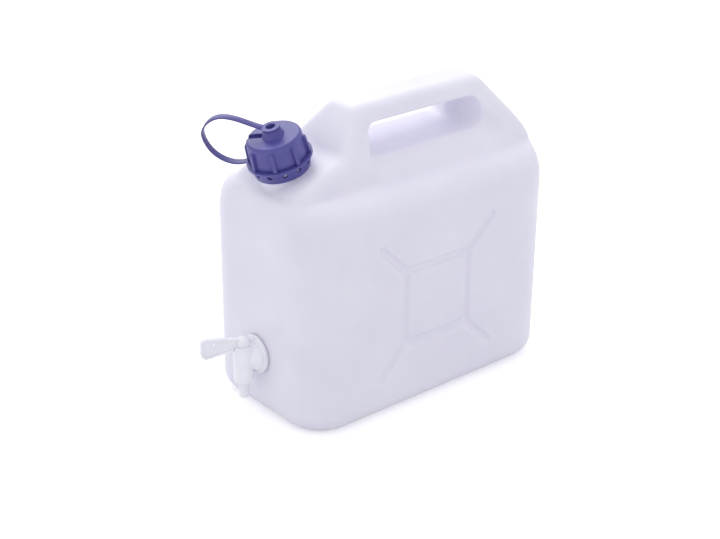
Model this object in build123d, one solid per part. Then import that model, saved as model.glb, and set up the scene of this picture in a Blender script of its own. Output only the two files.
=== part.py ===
"""Ten-litre carboy: a blow-moulded tank with a grab handle, a screw cap held by a tether, and a lever tap.

Frame: millimetres, +Z up, the long way of the tank along Y with the tap at -Y.
The origin is the centre of the base, on the surface that the tank stands on.
"""

import os
from math import atan2, cos, degrees, radians, sin, tan

from build123d import *

# ---------------------------------------------------------------- driving sizes: tank
body_length = 300.0          # along Y, front wall to back wall
body_width = 164.0           # along X, over the side walls
body_height = 283.0          # floor to the top of the handle
wall = 1.8                   # blown wall
corner_radius = 41.0         # upright corners, seen from above
base_radius = 17.5           # rolled edge round the base

# heights on the tank's upper part are drops below the top of the handle
shoulder_drop = 95.0         # to where the walls begin to lean in
shoulder_rise = 31.0         # from there to the top of the shoulders, beside the ridge
shoulder_lean = 29.0         # how far the side walls lean in by the top
front_lean = 7.0             # how far the front wall leans in
back_lean = 5.0              # how far the back wall leans in
shoulder_corner_radius = 28.0  # upright corners at the top of the shoulders
shoulder_steps = 7

# ridge along the middle, which carries the neck and rises into the handle
ridge_set_back = 1.2         # its ends stand this much inside the end walls
ridge_foot_half_width = 56.0   # at the start of the shoulders
ridge_half_width = 48.5      # at the height of the neck's platform
ridge_drop = 50.0            # to that height
ridge_side_radius = 60.0     # round between the ridge's foot and its leaning sides
crown_half_width = 19.0      # half the width of the grip's top, before rounding
ridge_edge_radius = 13.0     # round along both edges of the ridge

front_shoulder_radius = 42.0
slope_foot_back = 39.0       # from the neck's centre back to the foot of the front slope
slope_foot_radius = 22.0
grip_from_front = 100.0      # front wall to the front end of the grip
grip_front_radius = 15.0
grip_from_back = 48.0        # back wall to the back end of the grip
grip_back_radius = 20.0
back_wall_drop = 62.0        # to where the back wall turns into the back slope
back_wall_radius = 32.0
# handle window: the straight part of it near the mould's parting plane
window_half_depth = 8.0
window_drop = 22.0           # to its top
window_height = 23.0
window_from_front = 109.0    # front wall to its front end
window_from_back = 67.0      # back wall to its back end
window_corner_radius = 9.0
# the edge of the window's floor, where it has grown by these amounts
floor_half_width = 33.0
floor_growth_up = 9.0
floor_growth_front = 5.0
floor_growth_back = 10.0
floor_corner_radius = 11.0
# the window's rim, where it has grown by these amounts from its straight part
rim_half_width = 53.0
rim_growth_up = 18.0
rim_growth_down = 18.5
rim_growth_front = 21.0
rim_growth_back = 47.0
rim_corner_radius = 28.0

# stiffening grooves on both long sides
groove_width = 8.0
groove_depth = 2.4
groove_spoke_length = 29.5   # along Y, from a corner of the square to the far end of its spoke
groove_spoke_height = 29.0   # the same, along Z
groove_from_front = 79.5     # front wall to the spokes' front ends
groove_from_back = 85.5      # back wall to the spokes' back ends
groove_foot = 39.5           # floor to the spokes' lower ends
groove_head = 17.5           # start of the shoulders down to the spokes' upper ends

# ---------------------------------------------------------------- driving sizes: neck and cap
neck_tilt = 17.0             # degrees that the neck leans forward
neck_from_front = 29.0       # front wall to the middle of the cap's seat
neck_drop = 37.0             # top of the handle down to the cap's seat
neck_stand = 12.0            # cap seat above the shoulder, along the neck
neck_bore_radius = 19.2
neck_radius = 21.2           # outside of the threaded part, at the thread's root
neck_base_radius = 23.4      # plain foot of the neck

cap_height = 24.3            # flange face to the top of the cap
cap_top_radius = 24.7
cap_skirt_radius = 26.0
cap_floor = 1.2              # left under the slot in the cap's top
cap_edge_radius = 2.4
cap_bore_radius = 23.4
rib_count = 8
rib_width = 3.6
rib_foot_radius = 28.6
rib_head_radius = 27.4
rib_head_gap = 4.8           # from the rib's head up to the top of the cap
liner_thickness = 1.6
seal_gap = 0.05

pillar_foot_radius = 10.2
pillar_radius = 7.6
pillar_height = 6.9          # top of the cap to the underside of the eye
stud_radius = 5.6
stud_bore_radius = 4.4
stud_depth = 5.0
slot_width = 7.4
slot_depth = 2.8
strap_angle = 53.0           # degrees from straight ahead towards -X, seen from above

# tether: collar, strap and eye in one moulding
flange_radius = 29.8
flange_thickness = 2.2
collar_height = 10.3
collar_top_radius = 27.0
collar_low_radius = 25.5
collar_clearance = 0.6       # collar to the plain foot of the neck
notch_count = 12             # round-ended openings in the collar, under the flange
notch_radius = 2.4
notch_depth = 5.6            # flange down to the lowest point of a notch
cap_clearance = 0.4          # skirt to flange
strap_width = 6.6
strap_thickness = 1.4
# the strap's loop from the eye to the collar: distance from the cap's axis and height above the seat
strap_loop = [(19.0, 38.2), (33.0, 45.0), (44.0, 46.9), (55.5, 42.7), (63.2, 33.5), (63.6, 24.5),
              (58.2, 10.6), (46.5, 1.2), (36.0, -0.8)]
eye_radius = 8.3
eye_thickness = 2.0
running_gap = 0.08           # eye on its stud, plug in its barrel

# ---------------------------------------------------------------- driving sizes: tap
tap_height = 62.0            # centre of the tap's inlet above the floor
port_radius = 12.4           # hole in the front wall
port_collar = 3.2            # thickness of the moulded collar round the hole
port_depth = 11.0            # depth of that collar inside the tank
shank_radius = 12.2
shank_bore_radius = 7.0
shank_reach = 13.0           # beyond the outside of the front wall
tap_flange_radius = 18.6
tap_flange_thickness = 3.4
tap_step_radius = 16.2
tap_step_thickness = 1.8
gasket_thickness = 1.6
gasket_radius = 17.4
gasket_clearance = 0.3
boss_radius = 14.6
boss_end_radius = 8.4
barrel_ahead = 16.2          # barrel centre ahead of the front wall
barrel_radius = 9.0
barrel_below = 23.4          # tap's centre down to the foot of the barrel
barrel_above = 13.4          # and up to its top
barrel_floor = 3.0
barrel_foot_round = 2.0
plug_radius = 6.3
plug_bore_radius = 3.8
nozzle_length = 15.9
nozzle_radius = 5.6
nozzle_end_radius = 4.0
nozzle_bore_radius = 2.9
hub_radius = 6.5
hub_height = 8.8
hub_dome = 0.95              # share of the hub's radius that its top is rounded with
lever_reach = 40.0           # barrel centre to the lever's tip
lever_root_drop = 1.6        # hub's top down to the blade's upper edge, at the barrel's axis
lever_tip_rise = 4.8         # blade's upper corner above the hub's top
lever_tip_height = 22.0
lever_heel = 3.4             # how far the blade hangs below the barrel's top, just beyond the barrel
lever_clearance = 0.5        # blade to barrel
lever_thickness = 4.4
lever_web = 1.8
lever_rim = 1.9
lever_tip_round = 5.5
lever_angle = 18.0           # degrees from straight ahead towards -X, at rest
lever_hole_radius = 0.9
lever_hole_reach = 27.0
lever_hole_drop = 3.4        # below the hub's top
o_ring_section = 1.1         # radius of the ring's section
o_ring_drop = 5.0            # below the top of the barrel
o_ring_squeeze = 0.12

# ---------------------------------------------------------------- places worked out from the sizes
half_length = body_length / 2
half_width = body_width / 2
outside = 60.0               # how far cutting profiles run past what they cut
flush_step = 1.0             # the deck and the grip take this much of the window's corners
shoulder_start = body_height - shoulder_drop
shoulder_top = shoulder_start + shoulder_rise
ridge_low = body_height - ridge_drop
back_wall_height = body_height - back_wall_drop

window_top = body_height - window_drop
window_floor = window_top - window_height
window_front = window_from_front - half_length
window_back = half_length - window_from_back

neck_axis = Vector(0, -sin(radians(neck_tilt)), cos(radians(neck_tilt)))
neck_seat = Vector(0, neck_from_front - half_length, body_height - neck_drop)
neck_plane = Plane(origin=neck_seat, x_dir=(1, 0, 0), z_dir=neck_axis)
cap_plate = slot_depth + cap_floor
land = cap_height - cap_plate - liner_thickness - seal_gap
skirt_foot = flange_thickness + cap_clearance
eye_foot = cap_height + pillar_height
strap_plane = neck_plane * Plane.XY.rotated((0, 0, -90 - strap_angle))

barrel_centre = Vector(0, -half_length - barrel_ahead, 0)
barrel_low = tap_height - barrel_below
barrel_high = tap_height + barrel_above
tap_face = -half_length - gasket_thickness


def shoulder_line(y):
    """Height of the sloping front shoulder at a place along the tank."""
    foot = neck_seat - neck_axis * neck_stand
    return foot.Z + (y - foot.Y) * tan(radians(neck_tilt))


def rounded_profile(corners, plane):
    """A closed face with its own radius at each corner: (u, v, radius)."""
    face = make_face(Polyline([(u, v) for u, v, _ in corners], close=True))
    for u, v, radius in corners:
        if radius > 0:
            face = fillet(face.vertices().sort_by_distance((u, v, 0))[0], radius)
    return plane * face


# ---------------------------------------------------------------- tank
def shoulder_section(height, inset):
    """Outline of the tank's body at a height on its leaning shoulders, moved in by inset."""
    rise = (height - shoulder_start) / (shoulder_top - shoulder_start)
    share = 1 - (1 - rise ** 2) ** 0.5
    width = body_width - 2 * (shoulder_lean * share + inset)
    front = -half_length + front_lean * share + inset
    back = half_length - back_lean * share - inset
    radius = corner_radius + (shoulder_corner_radius - corner_radius) * share - inset
    outline = fillet(Rectangle(width, back - front).vertices(), radius)
    return Pos(0, (front + back) / 2, height - inset) * outline


def body_form(inset):
    """Body of the tank: upright walls on a rolled base, under shoulders that lean in."""
    plan = fillet(Rectangle(body_width - 2 * inset, body_length - 2 * inset).vertices(), corner_radius - inset)
    walls = Pos(0, 0, inset) * extrude(plan, shoulder_start - 2 * inset)
    walls = fillet(walls.edges().group_by(Axis.Z)[0], base_radius - inset)
    rise = shoulder_top - shoulder_start
    heights = [shoulder_start + rise * sin(radians(90 * i / shoulder_steps)) for i in range(shoulder_steps + 1)]
    return walls + loft([shoulder_section(height, inset) for height in heights])


def runs_along_a_side(edge):
    """Whether an edge is a level line along the ridge's side, below its top."""
    box = edge.bounding_box()
    return box.size.X < 0.01 and box.size.Z < 0.01 and box.max.Z < body_height - 2 * wall


def ridge_form(inset):
    """The ridge that carries the neck and rises into the handle."""
    end = half_length - ridge_set_back
    slope_foot = neck_seat.Y + slope_foot_back
    side = rounded_profile([
        (-end, shoulder_start, 0),
        (-end, shoulder_line(-end), front_shoulder_radius),
        (slope_foot, shoulder_line(slope_foot), slope_foot_radius),
        (grip_from_front - half_length, body_height, grip_front_radius),
        (half_length - grip_from_back, body_height, grip_back_radius),
        (end, back_wall_height, back_wall_radius),
        (end, shoulder_start, 0)], Plane.YZ)
    if inset:
        side = offset(side, -inset)
    ridge = extrude(side, half_width, both=True)
    half = [(ridge_foot_half_width, shoulder_start, 0), (ridge_half_width, ridge_low, ridge_side_radius),
            (crown_half_width, body_height, 0)]
    half = [(x - inset, z, radius) for x, z, radius in half]
    end_view = rounded_profile(half + [(-x, z, radius) for x, z, radius in reversed(half)], Plane.XZ)
    ridge &= extrude(end_view, body_length, both=True)
    rims = [e for e in ridge.edges() if abs(e.center().X) > crown_half_width / 2
            and e.center().Z > shoulder_start + 2 * inset + 1 and not runs_along_a_side(e)]
    return fillet(rims, ridge_edge_radius - inset)


def tank_form(inset):
    """The tank's form before its neck, window and grooves, with every wall moved in by inset."""
    return body_form(inset) + ridge_form(inset)


def window_outline(place, front, back, up, down, radius, inset):
    """The window's outline at a distance from the parting plane, grown each way, and larger by inset."""
    left, right = window_front - front, window_back + back
    low, high = window_floor - down, window_top + up
    corners = [(left, low, radius), (right, low, radius), (right, high, radius), (left, high, radius)]
    outline = rounded_profile(corners, Plane.YZ)
    if inset:
        outline = offset(outline, inset)
    return Pos(place, 0, 0) * outline


def window_cut(inset):
    """The handle window, which widens each way from its straight middle; inset makes it larger."""
    middle = window_outline(window_half_depth, 0, 0, 0, 0, window_corner_radius, inset)
    edge = window_outline(
        floor_half_width, floor_growth_front, floor_growth_back, floor_growth_up, 0, floor_corner_radius, inset)
    rim = window_outline(
        rim_half_width, rim_growth_front, rim_growth_back, rim_growth_up, rim_growth_down, rim_corner_radius, inset)
    right = extrude(middle, -window_half_depth) + loft([middle, edge]) + loft([edge, rim]) + extrude(rim, half_width)
    return right + mirror(right, Plane.YZ)


def groove_cut(inset):
    """The square groove and its four spokes, cut into both long sides; inset makes them larger."""
    front, back = groove_from_front - half_length, half_length - groove_from_back
    low, high = groove_foot, shoulder_start - groove_head
    ends = [(front, low), (back, low), (back, high), (front, high)]
    inward = [(1, 1), (-1, 1), (-1, -1), (1, -1)]
    square = [(y + sy * groove_spoke_length, z + sz * groove_spoke_height)
              for (y, z), (sy, sz) in zip(ends, inward)]
    runs = [(square[i], square[(i + 1) % 4]) for i in range(4)] + list(zip(square, ends))
    sketch = Sketch()
    for start, end in runs:
        line = Line(start, end)
        slot = SlotCenterToCenter(line.length, groove_width + 2 * inset)
        angle = degrees(atan2(end[1] - start[1], end[0] - start[0]))
        sketch += Pos(*line.center()) * Rot(0, 0, angle) * slot
    face_plane = Plane(origin=(half_width, 0, 0), x_dir=(0, 1, 0), z_dir=(1, 0, 0))
    cut = extrude(face_plane * sketch, outside) + extrude(face_plane * sketch, -groove_depth - inset)
    return cut + mirror(cut, Plane.YZ)


def neck_disc(radius, low, high, bottom_radius=None):
    """A round solid on the neck's axis between two distances from the cap seat, tapered if asked."""
    if bottom_radius is None:
        solid = Cylinder(radius, high - low, align=(Align.CENTER, Align.CENTER, Align.MIN))
    else:
        solid = Cone(bottom_radius, radius, high - low, align=(Align.CENTER, Align.CENTER, Align.MIN))
    return neck_plane * Pos(0, 0, low) * solid


def front_disc(radius, start, length, end_radius=None):
    """A round solid along -Y at the tap's height, from y = start forwards, tapered if asked."""
    if end_radius is None:
        solid = Cylinder(radius, length, align=(Align.CENTER, Align.CENTER, Align.MIN))
    else:
        solid = Cone(radius, end_radius, length, align=(Align.CENTER, Align.CENTER, Align.MIN))
    return Plane(origin=(0, start, tap_height), x_dir=(1, 0, 0), z_dir=(0, -1, 0)) * solid


def whole_tank():
    """The tank as it is blown, in one piece."""
    sunk = neck_stand + 2 * wall
    neck = neck_disc(neck_base_radius, -sunk, -flange_thickness) + neck_disc(neck_radius, -sunk, land)
    outer = tank_form(0) - window_cut(0) - groove_cut(0) + neck
    inner = tank_form(wall) - window_cut(wall) - groove_cut(wall)
    inner -= front_disc(port_radius + port_collar, -half_length + port_depth, port_depth)
    tank = outer - inner
    tank -= neck_disc(neck_bore_radius, -sunk - neck_stand, land)
    tank -= front_disc(port_radius, -half_length + 2 * port_depth, 3 * port_depth)
    return tank


def slab(low, high, front=-outside - half_length, back=half_length + outside):
    """Everything between two heights, and between two places along the tank."""
    block = Box(body_width + outside, back - front, high - low, align=(Align.CENTER, Align.MIN, Align.MIN))
    return Pos(0, front, low) * block


def tank_sections():
    """The tank cut flush into simple sections, because a hull can't follow a closed shell with a window in it."""
    tank = whole_tank()
    neck_zone = neck_disc(neck_base_radius + collar_clearance / 2, -collar_height, land)
    rest = tank - neck_zone
    walls = rest & slab(base_radius, shoulder_start)
    right = Pos(half_width, 0, 0) * Box(body_width, 2 * body_length, 2 * body_height)
    front = slab(shoulder_start, window_top - flush_step, back=window_front)
    back = slab(shoulder_start, window_top - flush_step, front=window_back)
    beside = slab(window_floor + flush_step, window_top - flush_step, window_front, window_back)
    ahead = slab(0, body_height, back=0)
    return {
        "neck": tank & neck_zone,
        "base": rest & slab(0, base_radius),
        "right_wall": walls & right,
        "left_wall": walls - right,
        "front_shoulder": rest & (front + (beside & ahead)),
        "deck": rest & slab(shoulder_start, window_floor + flush_step, window_front, window_back),
        "back_shoulder": rest & (back + (beside - ahead)),
        "grip": rest & slab(window_top - flush_step, body_height),
    }


# ---------------------------------------------------------------- cap
def make_cap():
    body = neck_disc(cap_top_radius, skirt_foot, cap_height, cap_skirt_radius)
    top_edge = body.edges().sort_by(lambda e: (e.center() - neck_seat).dot(neck_axis))[-1]
    body = fillet(top_edge, cap_edge_radius)
    rib_top = cap_height - rib_head_gap
    outline = make_face(Polyline([
        (cap_bore_radius, skirt_foot), (rib_foot_radius, skirt_foot),
        (rib_head_radius, rib_top), (cap_bore_radius, rib_top)], close=True))
    rib = extrude(Plane.XZ * outline, rib_width / 2, both=True)
    rib = fillet(rib.edges().group_by(Axis.Z)[-1].sort_by(Axis.X)[-1], rib_head_radius - cap_top_radius)
    for i in range(rib_count):
        body += neck_plane * Rot(0, 0, 360 / rib_count * i) * rib
    pillar = neck_disc(pillar_radius, cap_height, eye_foot, pillar_foot_radius)
    stud = neck_disc(stud_radius, cap_height, eye_foot + eye_thickness)
    body += pillar + stud
    slot = Pos((pillar_radius + rib_foot_radius) / 2, 0, cap_height - slot_depth / 2) * Box(
        rib_foot_radius - pillar_radius, slot_width, slot_depth)
    body -= strap_plane * slot
    body -= neck_disc(stud_bore_radius, eye_foot + eye_thickness - stud_depth, eye_foot + eye_thickness)
    body -= neck_disc(cap_bore_radius, skirt_foot, cap_height - cap_plate)
    return body


def make_cap_liner():
    top = cap_height - cap_plate - seal_gap
    return neck_disc(cap_bore_radius - 2 * running_gap, top - liner_thickness, top)


# ---------------------------------------------------------------- tether
def make_tether():
    collar_bore = neck_base_radius + collar_clearance
    ring = neck_disc(flange_radius, 0, flange_thickness)
    ring += neck_disc(collar_top_radius, -collar_height, 0, collar_low_radius)
    ring -= neck_disc(collar_bore, -collar_height, flange_thickness)
    straight = notch_depth - notch_radius
    notch = Pos(0, -straight) * Circle(notch_radius)
    notch += Pos(0, -straight / 2) * Rectangle(2 * notch_radius, straight)
    for i in range(notch_count):
        ring -= neck_plane * Rot(0, 0, 360 / notch_count * i) * extrude(Plane.YZ * notch, flange_radius)
    eye = neck_disc(eye_radius, eye_foot, eye_foot + eye_thickness)
    middle = eye_foot + eye_thickness / 2
    first = (stud_radius + running_gap + strap_thickness / 2, middle)
    last = (flange_radius - flange_thickness, flange_thickness / 2)
    path = Spline([(r, 0, w) for r, w in (first, *strap_loop, last)])
    section = Plane(origin=path @ 0, x_dir=(0, 1, 0), z_dir=path % 0) * Rectangle(strap_width, strap_thickness)
    strap = strap_plane * sweep(section, path)
    tether = ring + strap + eye - neck_disc(stud_radius + running_gap, eye_foot, eye_foot + eye_thickness)
    return tether


# ---------------------------------------------------------------- tap
def upright(radius, low, high, top_radius=None):
    """A round solid on the barrel's axis between two heights, tapered if asked."""
    if top_radius is None:
        solid = Cylinder(radius, high - low, align=(Align.CENTER, Align.CENTER, Align.MIN))
    else:
        solid = Cone(radius, top_radius, high - low, align=(Align.CENTER, Align.CENTER, Align.MIN))
    return Pos(barrel_centre.X, barrel_centre.Y, low) * solid


def make_tap_body():
    flange = front_disc(tap_flange_radius, tap_face, tap_flange_thickness)
    flange = fillet(flange.edges().sort_by(Axis.Y)[0], tap_flange_thickness / 3)
    step = front_disc(tap_step_radius, tap_face - tap_flange_thickness, tap_step_thickness)
    boss_start = tap_face - tap_flange_thickness - tap_step_thickness
    boss = front_disc(boss_radius, boss_start, boss_start - barrel_centre.Y, boss_end_radius)
    shank = front_disc(shank_radius, -half_length + shank_reach, shank_reach - half_length - tap_face)
    barrel = upright(barrel_radius, barrel_low, barrel_high)
    barrel = fillet(barrel.edges().sort_by(Axis.Z)[0], barrel_foot_round)
    nozzle = upright(nozzle_end_radius, barrel_low - nozzle_length, barrel_low, nozzle_radius)
    body = flange + step + boss + shank + barrel + nozzle
    body -= upright(plug_radius + running_gap, barrel_low + barrel_floor, barrel_high)
    body -= upright(nozzle_bore_radius, barrel_low - nozzle_length, barrel_low + barrel_floor)
    inlet_end = -half_length + shank_reach
    body -= front_disc(shank_bore_radius, inlet_end, inlet_end - tap_face)
    body -= front_disc(plug_bore_radius, tap_face, tap_face - barrel_centre.Y)
    return body


def make_tap_lever():
    lever_line = -90 - lever_angle
    groove_height = barrel_high - o_ring_drop
    plug = upright(plug_radius, barrel_low + barrel_floor + running_gap, barrel_high + running_gap)
    plug -= upright(plug_bore_radius, barrel_low + barrel_floor, tap_height + plug_bore_radius)
    port = Pos(barrel_centre.X, barrel_centre.Y, tap_height) * Rot(0, 0, lever_line) * Rot(0, -90, 0)
    plug -= port * Cylinder(plug_bore_radius, 2 * plug_radius, align=(Align.CENTER, Align.CENTER, Align.MIN))
    hub = upright(hub_radius, barrel_high + running_gap, barrel_high + hub_height)
    hub = fillet(hub.edges().sort_by(Axis.Z)[-1], hub_radius * hub_dome)
    hub_top = barrel_high + hub_height
    tip_top = hub_top + lever_tip_rise
    heel = barrel_radius + lever_clearance
    outline = make_face(Polyline([
        (0, hub_top - lever_root_drop), (lever_reach, tip_top),
        (lever_reach, tip_top - lever_tip_height), (heel, barrel_high - lever_heel),
        (heel, barrel_high + running_gap), (0, barrel_high + running_gap)], close=True))
    outline = fillet(outline.vertices().sort_by(Axis.X)[-2:], lever_tip_round)
    panel = offset(outline, -lever_rim)
    blade = extrude(Plane.XZ * outline, lever_thickness / 2, both=True)
    for side in (1, -1):
        recess = extrude(Plane.XZ * panel, lever_thickness)
        recess = Pos(0, side * (lever_thickness / 2 + lever_web / 2) + lever_thickness / 2, 0) * recess
        blade -= recess
    hole = Cylinder(lever_hole_radius, 2 * lever_thickness)
    hole = Pos(lever_hole_reach, 0, hub_top - lever_hole_drop) * Rot(90, 0, 0) * hole
    blade -= hole
    blade = Pos(barrel_centre.X, barrel_centre.Y, 0) * Rot(0, 0, lever_line) * blade
    lever = plug + hub + blade
    ring_groove = upright(plug_radius + 1, groove_height - o_ring_section, groove_height + o_ring_section)
    ring_groove -= upright(plug_radius - 2 * o_ring_section + o_ring_squeeze, barrel_low, barrel_high)
    return lever - ring_groove


def make_tap_gasket():
    ring = front_disc(gasket_radius, -half_length, gasket_thickness)
    return ring - front_disc(shank_radius + gasket_clearance, -half_length, gasket_thickness)


def make_tap_o_ring():
    groove_height = barrel_high - o_ring_drop
    ring = Torus(plug_radius - o_ring_section, o_ring_section - o_ring_squeeze)
    return Pos(barrel_centre.X, barrel_centre.Y, groove_height) * ring


nodes = tank_sections() | {
    "cap": make_cap(),
    "cap_liner": make_cap_liner(),
    "tether": make_tether(),
    "tap_body": make_tap_body(),
    "tap_lever": make_tap_lever(),
    "tap_gasket": make_tap_gasket(),
    "tap_o_ring": make_tap_o_ring(),
}

os.makedirs("parts", exist_ok=True)
for name, solid in nodes.items():
    export_step(solid, "parts/" + name + ".step")
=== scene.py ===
# %% [markdown]
# # A ten-litre carboy with a lever tap
# The real thing is a canister that was blown in one piece out of natural polyethylene, with a screw
# cap on a strap and a push-in tap near its foot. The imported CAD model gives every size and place.
# This lesson dresses it: the tank gets the soft skin that blow moulding leaves, the small injection
# mouldings get their rounded edges, and each plastic gets its own material.

import math

import bmesh
import bpy
from mathutils import Matrix, Vector


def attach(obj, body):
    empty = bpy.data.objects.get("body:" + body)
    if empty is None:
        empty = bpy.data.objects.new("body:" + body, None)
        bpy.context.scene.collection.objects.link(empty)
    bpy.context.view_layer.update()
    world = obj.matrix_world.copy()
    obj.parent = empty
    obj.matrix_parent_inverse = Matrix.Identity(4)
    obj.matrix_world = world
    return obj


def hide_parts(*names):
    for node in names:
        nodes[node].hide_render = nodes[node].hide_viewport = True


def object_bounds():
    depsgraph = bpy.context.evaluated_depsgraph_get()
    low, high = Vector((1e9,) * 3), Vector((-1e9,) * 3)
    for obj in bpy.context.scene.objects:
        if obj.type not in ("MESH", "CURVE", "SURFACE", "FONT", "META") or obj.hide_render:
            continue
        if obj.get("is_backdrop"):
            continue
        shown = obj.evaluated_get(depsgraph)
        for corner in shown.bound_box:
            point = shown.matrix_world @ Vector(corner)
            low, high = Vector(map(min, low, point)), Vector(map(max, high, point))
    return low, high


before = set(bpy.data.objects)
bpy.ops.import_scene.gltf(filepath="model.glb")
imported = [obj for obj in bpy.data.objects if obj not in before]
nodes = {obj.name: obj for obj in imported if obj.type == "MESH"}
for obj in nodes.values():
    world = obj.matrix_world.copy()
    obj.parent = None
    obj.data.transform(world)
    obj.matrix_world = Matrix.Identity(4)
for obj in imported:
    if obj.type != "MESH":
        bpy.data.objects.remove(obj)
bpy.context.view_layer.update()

# %% [markdown]
# ## Two small helpers
# Colours are written as sRGB hex, the way a colour picker gives them, but shaders mix light in
# linear values, so one function turns one into the other. The other helper adds a shader node
# with its settings and its links in one line, which keeps a material readable from top to bottom.

# %% Helpers for colour and shader nodes
MM = 0.001


def linear(hex_colour):
    """An sRGB colour such as '#A0B1C2' as the linear RGBA that shader sockets take."""
    parts = [int(hex_colour[i:i + 2], 16) / 255 for i in (1, 3, 5)]
    return [c / 12.92 if c <= 0.04045 else ((c + 0.055) / 1.055) ** 2.4 for c in parts] + [1.0]


def add_node(tree, kind, settings=None, inputs=None, links=None):
    """Adds a shader node, sets its properties and input values, and links other nodes' outputs to its inputs."""
    made = tree.nodes.new(kind)
    for key, value in (settings or {}).items():
        setattr(made, key, value)
    for key, value in (inputs or {}).items():
        made.inputs[key].default_value = value
    for key, (source, output) in (links or {}).items():
        tree.links.new(source.outputs[output], made.inputs[key])
    return made


print("white in linear:", linear("#FFFFFF"), "mid grey:", [round(c, 3) for c in linear("#808080")])

# %% [markdown]
# ## The camera
# The camera looks down on the front corner from a little over a metre away. Its place is written as
# the point that it looks at, a distance and two angles, which is how a photographer would set a
# tripod, and its lens as a focal length on a 36 mm wide sensor.

# %% Place the camera
LOOKS_AT = Vector((0.0, -28.0, 110.4)) * MM
DISTANCE = 1436.3 * MM
AZIMUTH, ELEVATION, ROLL = (math.radians(a) for a in (49.91, 25.24, 0.52))
SENSOR, LENS = 36.0, 75.5         # sensor width and focal length in mm

back = Vector((math.sin(AZIMUTH) * math.cos(ELEVATION), -math.cos(AZIMUTH) * math.cos(ELEVATION),
               math.sin(ELEVATION)))
right = Vector((math.cos(AZIMUTH), math.sin(AZIMUTH), 0))
up = back.cross(right)
rolled_right = right * math.cos(ROLL) + up * math.sin(ROLL)
rolled_up = up * math.cos(ROLL) - right * math.sin(ROLL)

camera = bpy.data.objects.new("camera", bpy.data.cameras.new("camera"))
bpy.context.scene.collection.objects.link(camera)
camera.data.sensor_width = SENSOR
camera.data.lens = LENS
camera.matrix_world = Matrix.Translation(LOOKS_AT + back * DISTANCE) @ Matrix(
    (rolled_right, rolled_up, back)).transposed().to_4x4()
bpy.context.scene.camera = camera
print("camera stands at", [round(1000 * v) for v in camera.matrix_world.translation], "mm")

# %% [markdown]
# ## Floor and light
# A white room: a pale floor, soft light from all round, one softbox nearly overhead that brightens
# the tops, and one behind that shines back off the cap. The floor adds a little light of its own
# only where the camera or a reflection looks at it, so it shows white and still keeps the shadow.

# %% Floor
FLOOR_HALF_SIZE = 6.0      # m
FLOOR_GLOW = 0.42          # light that the floor adds where it is looked at

floor_mesh = bpy.data.meshes.new("floor")
shape = bmesh.new()
bmesh.ops.create_grid(shape, x_segments=8, y_segments=8, size=FLOOR_HALF_SIZE)
shape.to_mesh(floor_mesh)
shape.free()
floor = bpy.data.objects.new("floor", floor_mesh)
bpy.context.scene.collection.objects.link(floor)
floor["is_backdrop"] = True

floor_paint = bpy.data.materials.new("matt_white_studio_floor")
floor_paint.use_nodes = True
tree = floor_paint.node_tree
tree.nodes.clear()
rays = add_node(tree, "ShaderNodeLightPath")
seen = add_node(tree, "ShaderNodeMath", {"operation": "MAXIMUM"},
                links={0: (rays, "Is Camera Ray"), 1: (rays, "Is Glossy Ray")})
seen = add_node(tree, "ShaderNodeMath", {"operation": "MAXIMUM"},
                links={0: (seen, 0), 1: (rays, "Is Transmission Ray")})
lift = add_node(tree, "ShaderNodeMath", {"operation": "MULTIPLY"}, {1: FLOOR_GLOW}, {0: (seen, 0)})
matt = add_node(tree, "ShaderNodeBsdfDiffuse", inputs={"Color": linear("#E6E6E8")})
glow = add_node(tree, "ShaderNodeEmission", inputs={"Color": (1, 1, 1, 1)}, links={"Strength": (lift, 0)})
both = add_node(tree, "ShaderNodeAddShader", links={0: (matt, 0), 1: (glow, 0)})
add_node(tree, "ShaderNodeOutputMaterial", links={"Surface": (both, 0)})
floor.data.materials.append(floor_paint)
print("floor is", round(floor.dimensions.x, 1), "m wide")

# %% Room light and two softboxes
ROOM_LIGHT = 0.975         # strength of the light from all round
SOFTBOX_SIZE = 1.1         # m
SOFTBOX_DISTANCE = 1.6     # m
SOFTBOXES = [("softbox_overhead", 1.8, (-0.22, -0.12, 0.96)),      # name, watts, direction it stands in
             ("softbox_behind", 7.5, (-0.69, 0.25, 0.68))]

world = bpy.data.worlds.new("white_room")
bpy.context.scene.world = world
world.use_nodes = True
tree = world.node_tree
tree.nodes.clear()
rays = add_node(tree, "ShaderNodeLightPath")
room = add_node(tree, "ShaderNodeBackground", inputs={"Color": linear("#F6F6FB"), "Strength": ROOM_LIGHT})
white = add_node(tree, "ShaderNodeBackground", inputs={"Color": (1, 1, 1, 1), "Strength": 1.0})
pick = add_node(tree, "ShaderNodeMixShader", links={0: (rays, "Is Camera Ray"), 1: (room, 0), 2: (white, 0)})
add_node(tree, "ShaderNodeOutputWorld", links={"Surface": (pick, 0)})

for name, watts, stands in SOFTBOXES:
    towards = Vector(stands).normalized()
    softbox = bpy.data.objects.new(name, bpy.data.lights.new(name, "AREA"))
    bpy.context.scene.collection.objects.link(softbox)
    softbox.data.shape, softbox.data.size, softbox.data.energy = "SQUARE", SOFTBOX_SIZE, watts
    softbox.location = LOOKS_AT + towards * SOFTBOX_DISTANCE
    softbox.rotation_mode = "QUATERNION"
    softbox.rotation_quaternion = towards.to_track_quat("Z", "Y")
    print(name, "of", watts, "W at", [round(v, 2) for v in softbox.location])

scene = bpy.context.scene
scene.view_settings.view_transform = "Standard"
print("view transform:", scene.view_settings.view_transform)

# %% [markdown]
# ## The plastics
# Natural high-density polyethylene has no pigment. It is milky because its crystals scatter light,
# so it gets subsurface scattering, and its mould was sand-blasted to let the air out, which leaves a
# satin skin with a very fine grain. The cap and its strap are injection moulded polyethylene with a
# blue-violet pigment. The tap is white acetal-like plastic with a smoother face.

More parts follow.
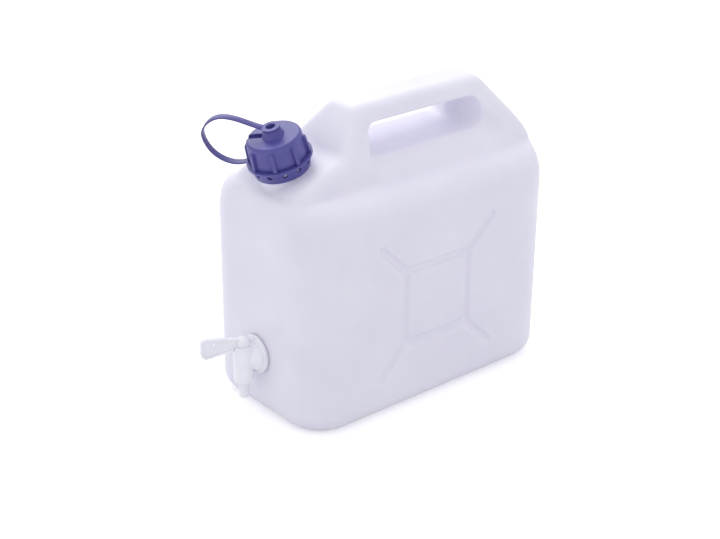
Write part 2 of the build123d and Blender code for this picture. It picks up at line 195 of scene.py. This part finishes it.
# %% Natural HDPE
GRAIN = 1.1            # mm between the bumps of the satin skin, drawn coarser than real so that it shows
CLOUD = 60.0           # mm between thicker and thinner places of the blown wall
RIPPLE = 34.0          # mm between the shallow waves that cooling leaves


def new_material(name):
    """An empty node material and its tree."""
    made = bpy.data.materials.new(name)
    made.use_nodes = True
    made.node_tree.nodes.clear()
    return made, made.node_tree


natural_hdpe, tree = new_material("blow_moulded_natural_hdpe")
where = add_node(tree, "ShaderNodeTexCoord")
cloud = add_node(tree, "ShaderNodeTexNoise", inputs={"Scale": 1 / (CLOUD * MM), "Detail": 2.0},
                 links={"Vector": (where, "Object")})
tint = add_node(tree, "ShaderNodeValToRGB", links={0: (cloud, 0)})
tint.color_ramp.elements[0].position, tint.color_ramp.elements[0].color = 0.3, linear("#E9E7F6")
tint.color_ramp.elements[1].position, tint.color_ramp.elements[1].color = 0.7, linear("#EFEDFA")
grain = add_node(tree, "ShaderNodeTexNoise", inputs={"Scale": 1 / (GRAIN * MM), "Detail": 3.0},
                 links={"Vector": (where, "Object")})
ripple = add_node(tree, "ShaderNodeTexNoise", inputs={"Scale": 1 / (RIPPLE * MM), "Detail": 1.0},
                  links={"Vector": (where, "Object")})
gloss = add_node(tree, "ShaderNodeMapRange", inputs={"To Min": 0.40, "To Max": 0.50}, links={"Value": (grain, 0)})
waves = add_node(tree, "ShaderNodeBump", inputs={"Strength": 0.35, "Distance": 0.5 * MM},
                 links={"Height": (ripple, 0)})
skin = add_node(tree, "ShaderNodeBump", inputs={"Strength": 0.25, "Distance": 0.03 * MM},
                links={"Height": (grain, 0), "Normal": (waves, 0)})
plastic = add_node(tree, "ShaderNodeBsdfPrincipled",
                   inputs={"IOR": 1.54, "Subsurface Weight": 0.35, "Subsurface Radius": (1.0, 0.95, 1.05),
                           "Subsurface Scale": 5 * MM},
                   links={"Base Color": (tint, 0), "Roughness": (gloss, 0), "Normal": (skin, 0)})
add_node(tree, "ShaderNodeOutputMaterial", links={"Surface": (plastic, 0)})
print("natural HDPE: grain", GRAIN, "mm, clouds", CLOUD, "mm")


# %% The moulded plastics
def moulded_plastic(name, dark, light, grain_mm, rough_low, rough_high, bump):
    """An injection moulded plastic: a pigment that varies a little along the flow, under a fine eroded texture."""
    made, tree = new_material(name)
    where = add_node(tree, "ShaderNodeTexCoord")
    flow = add_node(tree, "ShaderNodeTexNoise", inputs={"Scale": 1 / (14 * MM), "Detail": 2.0},
                    links={"Vector": (where, "Object")})
    tint = add_node(tree, "ShaderNodeValToRGB", links={0: (flow, 0)})
    tint.color_ramp.elements[0].position, tint.color_ramp.elements[0].color = 0.3, linear(dark)
    tint.color_ramp.elements[1].position, tint.color_ramp.elements[1].color = 0.7, linear(light)
    grain = add_node(tree, "ShaderNodeTexNoise", inputs={"Scale": 1 / (grain_mm * MM), "Detail": 3.0},
                     links={"Vector": (where, "Object")})
    gloss = add_node(tree, "ShaderNodeMapRange", inputs={"To Min": rough_low, "To Max": rough_high},
                     links={"Value": (grain, 0)})
    relief = add_node(tree, "ShaderNodeBump", inputs={"Strength": bump, "Distance": 0.04 * MM},
                      links={"Height": (grain, 0)})
    plastic = add_node(tree, "ShaderNodeBsdfPrincipled", inputs={"IOR": 1.5},
                       links={"Base Color": (tint, 0), "Roughness": (gloss, 0), "Normal": (relief, 0)})
    add_node(tree, "ShaderNodeOutputMaterial", links={"Surface": (plastic, 0)})
    return made


violet_pe = moulded_plastic("injection_moulded_violet_pe", "#4C488F", "#54509B", 0.8, 0.34, 0.46, 0.35)
white_acetal = moulded_plastic("injection_moulded_white_acetal", "#EDEDF3", "#F4F4F8", 0.9, 0.26, 0.36, 0.2)
foam_liner = moulded_plastic("closed_cell_pe_foam", "#E4E4E6", "#F2F2F2", 0.5, 0.7, 0.85, 0.9)
silicone_seal = moulded_plastic("pressed_silicone_rubber", "#CFCFD6", "#DADAE0", 0.6, 0.45, 0.6, 0.3)
print("plastics:", [m.name for m in bpy.data.materials])

# %% [markdown]
# ## The tank's skin
# A blown tank has no sharp edge anywhere: the soft tube of plastic bridges every corner of the mould.
# The CAD tank has the right form, but it is cut into sections and creases where its solids meet. So
# the sections are joined, the mouth and the tap's port are plugged, and an even net of small squares
# is laid over the outside. The net is relaxed, most of all over the shoulders, and the wall comes last.

# %% Lay one net over the outside of all the sections
NECK_SEAT = Vector((0, -121.0, 246.0)) * MM
NECK_AXIS = Vector((0, -math.sin(math.radians(17)), math.cos(math.radians(17))))
NECK_TOP = 18.65 * MM       # end of the neck above the cap's seat
NECK_BORE = 19.2 * MM       # radius inside the neck
PORT_HEIGHT, PORT_RADIUS = 62.0 * MM, 12.4 * MM      # the round port that the tap's shank goes into
FRONT_WALL = -150.0 * MM
WALL = 1.8 * MM             # thickness of the blown wall
NET = 1.4 * MM              # side of a square of the net
SECTIONS = ["base", "left_wall", "right_wall", "front_shoulder", "deck", "back_shoulder", "grip", "neck"]
PORT_CENTRE, PORT_AXIS = Vector((0, FRONT_WALL, PORT_HEIGHT)), Vector((0, -1, 0))
PLUG_DEPTH = 6 * MM         # of the plugs that shut the mouth and the port for a while
CUTTER_REACH = 8 * MM       # how far a cutter goes to both sides of the skin
SAME_POINT = 0.002 * MM     # corners closer than this are one
ON_EDGE = 0.01 * MM         # play when a corner on a cut's edge is measured
MOUTH_ABOVE, PORT_AHEAD_OF = 240 * MM, -130 * MM      # where the faces inside the two cuts are looked for


def from_axis(point, origin, axis):
    """How far along an axis a point lies, and how far from it."""
    along = (point - origin).dot(axis)
    return along, (point - origin - axis * along).length


def add_round(shape, origin, axis, radius, low, high):
    """Adds a closed round bar on an axis, between two distances along it, to a mesh in work."""
    turn = axis.to_track_quat("Z", "Y").to_matrix().to_4x4()
    bmesh.ops.create_cone(shape, cap_ends=True, segments=96, radius1=radius, radius2=radius, depth=high - low,
                          matrix=Matrix.Translation(origin + axis * (low + high) / 2) @ turn)


def object_from(shape, name):
    """Turns a mesh in work into an object in the scene."""
    mesh = bpy.data.meshes.new(name)
    shape.to_mesh(mesh)
    shape.free()
    made = bpy.data.objects.new(name, mesh)
    scene.collection.objects.link(made)
    return made


def apply_modifiers(thing):
    """Gives an object the mesh that its modifiers make, and takes them off."""
    depsgraph = bpy.context.evaluated_depsgraph_get()
    depsgraph.update()
    made = bpy.data.meshes.new_from_object(thing.evaluated_get(depsgraph), depsgraph=depsgraph)
    thing.modifiers.clear()
    thing.data = made


shape = bmesh.new()
for name in SECTIONS:
    shape.from_mesh(nodes[name].data)
bmesh.ops.remove_doubles(shape, verts=shape.verts, dist=SAME_POINT)
add_round(shape, NECK_SEAT, NECK_AXIS, NECK_BORE + WALL / 2, NECK_TOP - PLUG_DEPTH, NECK_TOP)
add_round(shape, PORT_CENTRE, PORT_AXIS, PORT_RADIUS + WALL / 2, -PLUG_DEPTH, 0)
tank = object_from(shape, "tank_skin")
net = tank.modifiers.new("net", "REMESH")
net.mode = "VOXEL"
net.voxel_size = NET
apply_modifiers(tank)

shape = bmesh.new()
shape.from_mesh(tank.data)
outermost = min(shape.verts, key=lambda v: v.co.z)
skin_verts, edge_of_walk = {outermost}, [outermost]
while edge_of_walk:
    vertex = edge_of_walk.pop()
    for edge in vertex.link_edges:
        other = edge.other_vert(vertex)
        if other not in skin_verts:
            skin_verts.add(other)
            edge_of_walk.append(other)
within = [v for v in shape.verts if v not in skin_verts]
bmesh.ops.delete(shape, geom=within, context="VERTS")
shape.to_mesh(tank.data)
shape.free()
print("net:", len(tank.data.polygons), "squares of", NET / MM, "mm;", len(within), "corners dropped inside")

# %% Relax the net
RELAX = 0.5                    # how far each round moves a corner towards the middle of its neighbours
ROUNDS_ALL, ROUNDS_TOP = 4, 50
SHOULDERS_SOFTEN = 185, 200    # heights in mm between which the extra rounds set in
NECK_KEEPS_OUT = 24, 28        # mm from the neck's axis: the neck stays round
NECK_REACH = 40 * MM           # below the seat, as far as the neck is kept
GRIP_STARTS = 232, 242         # heights in mm between which the handle begins
GRIP_SIDE = 40, 60             # mm to the side between which the handle ends
GRIP_CRISP = 0.85              # share of the extra rounds that the handle is spared


def share(value, limits):
    """0 up to the first limit, 1 from the second on, and even between; limits in mm."""
    start, end = limits
    return min(1, max(0, (value / MM - start) / (end - start)))


soft = tank.vertex_groups.new(name="soft")
for v in tank.data.vertices:
    along, out = from_axis(v.co, NECK_SEAT, NECK_AXIS)
    off_neck = share(out, NECK_KEEPS_OUT) if along > -NECK_REACH else 1
    off_grip = 1 - share(v.co.z, GRIP_STARTS) * (1 - share(abs(v.co.x), GRIP_SIDE)) * GRIP_CRISP
    soft.add([v.index], share(v.co.z, SHOULDERS_SOFTEN) * off_neck * off_grip, "REPLACE")
relax_all = tank.modifiers.new("relax_all", "SMOOTH")
relax_all.factor, relax_all.iterations = RELAX, ROUNDS_ALL
relax_top = tank.modifiers.new("relax_top", "SMOOTH")
relax_top.factor, relax_top.iterations, relax_top.vertex_group = RELAX, ROUNDS_TOP, "soft"
apply_modifiers(tank)
print("relaxed", len(tank.data.vertices), "corners")

# %% Open the mouth and the tap's port, and give the skin its wall
tools = []
for name, origin, axis, radius, low, high in [
        ("mouth", NECK_SEAT, NECK_AXIS, NECK_BORE, NECK_TOP - CUTTER_REACH, NECK_TOP + CUTTER_REACH),
        ("port", PORT_CENTRE, PORT_AXIS, PORT_RADIUS, -CUTTER_REACH, CUTTER_REACH)]:
    shape = bmesh.new()
    add_round(shape, origin, axis, radius, low, high)
    tools.append(object_from(shape, name))
for tool in tools:
    cut = tank.modifiers.new(tool.name, "BOOLEAN")
    cut.operation, cut.solver, cut.object = "DIFFERENCE", "EXACT", tool
apply_modifiers(tank)
for tool in tools:
    bpy.data.objects.remove(tool)

shape = bmesh.new()
shape.from_mesh(tank.data)
inside = []
for face in shape.faces:
    walls = [[from_axis(v.co, *axis)[1] for v in face.verts] for axis in
             ((NECK_SEAT, NECK_AXIS), (PORT_CENTRE, PORT_AXIS))]
    middle = face.calc_center_median()
    in_mouth = max(walls[0]) < NECK_BORE + ON_EDGE and middle.z > MOUTH_ABOVE
    in_port = max(walls[1]) < PORT_RADIUS + ON_EDGE and middle.y < PORT_AHEAD_OF
    if in_mouth or in_port:
        inside.append(face)
bmesh.ops.delete(shape, geom=inside, context="FACES")
shape.to_mesh(tank.data)
shape.free()
wall = tank.modifiers.new("wall", "SOLIDIFY")
wall.thickness, wall.offset = WALL, -1
apply_modifiers(tank)
tank.data.shade_smooth()
tank.data.materials.clear()
tank.data.materials.append(natural_hdpe)
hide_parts(*SECTIONS)
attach(tank, "body")
print("tank skin:", len(tank.data.polygons), "faces; removed", len(inside), "inside the mouth and port")

# %% [markdown]
# ## The injection mouldings
# Cap, tether and tap come out of steel moulds, whose corners always have a small radius. The CAD
# solids stay as they are, and a weld and a bevel on top of them round the edges, which is what gives
# each edge its thin line of light.

# %% Round the edges of the small mouldings and give them their plastics
SHARP = math.radians(35)       # edges that turn by more than this are rounded
# node: material, the record's slot, radius of the rounded edges in mm
FINISHES = {
    "cap": (violet_pe, "violet_pe", 0.35), "tether": (violet_pe, "violet_pe", 0.25),
    "cap_liner": (foam_liner, "liner_foam", 0.2), "tap_body": (white_acetal, "tap_plastic", 0.3),
    "tap_lever": (white_acetal, "tap_plastic", 0.3), "tap_gasket": (silicone_seal, "seal_rubber", 0.2),
    "tap_o_ring": (silicone_seal, "seal_rubber", 0.0)}
for name, (material, slot_name, radius) in FINISHES.items():
    piece = nodes[name]
    piece.data.materials.clear()
    piece.data.materials.append(material)
    weld = piece.modifiers.new("weld", "WELD")
    weld.merge_threshold = SAME_POINT
    if radius:
        edges = piece.modifiers.new("rounded_edges", "BEVEL")
        edges.width, edges.segments, edges.limit_method = radius * MM, 2, "ANGLE"
        edges.angle_limit = SHARP
        edges.use_clamp_overlap = True
        edges.harden_normals = True
    print(name, "is", material.name)

# %% Measure and finish
low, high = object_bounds()
print("visual box in mm:", [round(1000 * v, 1) for v in low], [round(1000 * v, 1) for v in high])
